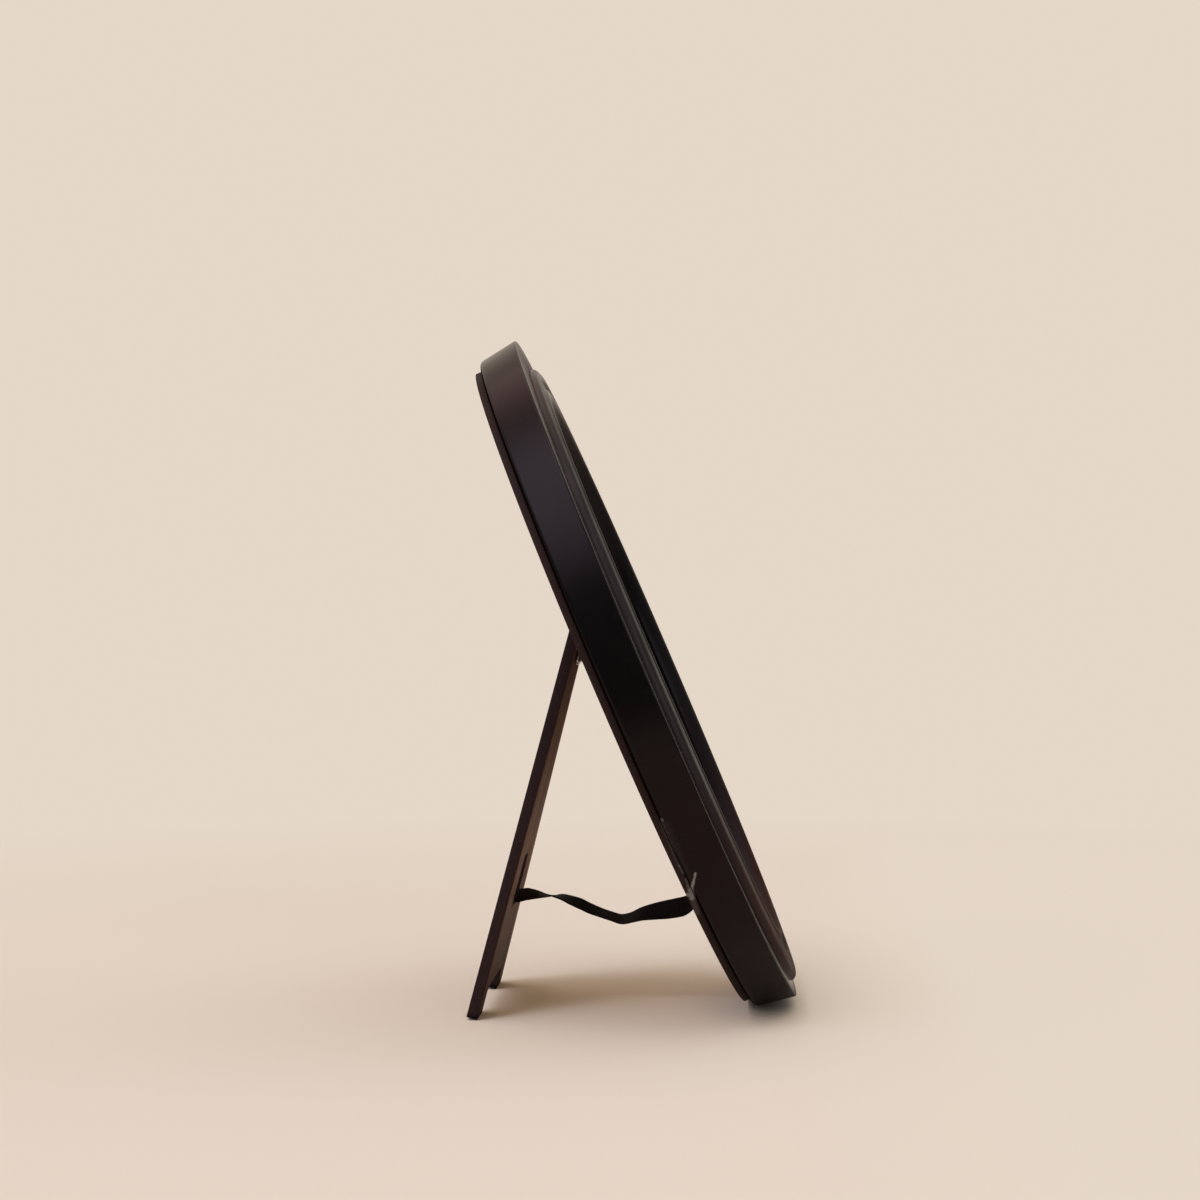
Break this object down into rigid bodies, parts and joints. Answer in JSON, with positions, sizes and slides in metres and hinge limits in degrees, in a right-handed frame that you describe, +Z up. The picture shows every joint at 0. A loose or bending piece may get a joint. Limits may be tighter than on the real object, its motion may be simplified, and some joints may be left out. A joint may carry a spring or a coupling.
{
  "type": "oval picture frame",
  "caption": "Oval moulded picture frame with glass and a screwed back board, standing on a hinged easel leg that a slack ribbon ties to the back.",
  "frame": {"origin": "on the table, under the middle of the frame and its open leg", "axes": "+Z up, +X across the width, -Y towards the front of the frame"},
  "size_m": [0.16, 0.0952, 0.1978],
  "materials": {
    "lacquer": "satin black lacquer, worn pale at a few edge chips",
    "glass": "clear picture glass",
    "black_card": "matt black card",
    "pad_board": "brown corrugated board",
    "hardboard": "dark brown hardboard, smooth face",
    "steel": "plain plated steel",
    "ribbon": "black woven ribbon"
  },
  "bodies": {
    "frame": {"oval_moulding": "lacquer", "glass_pane": "glass", "picture_insert": "black_card", "filler_pad": "pad_board", "back_board": "hardboard", "back_screw_1": "steel", "back_screw_2": "steel", "back_screw_3": "steel", "back_screw_4": "steel", "back_screw_5": "steel", "back_screw_6": "steel", "hinge_board_leaf": "steel", "hinge_pin": "steel", "board_rivet_left": "steel", "board_rivet_right": "steel", "ribbon": "ribbon", "ribbon_staple_board": "steel"},
    "leg": {"easel_leg": "hardboard", "hinge_leg_leaf": "steel", "leg_rivet_left": "steel", "leg_rivet_right": "steel", "ribbon_staple_leg": "steel"}
  },
  "joints": [
    {"name": "leg_hinge", "type": "hinge", "parent": "frame", "child": "leg", "pos_m": [0, 0.01471, 0.10711], "axis": [1, 0, 0], "range_deg": [-37.65, 0], "deforming": ["ribbon"]}
  ]
}
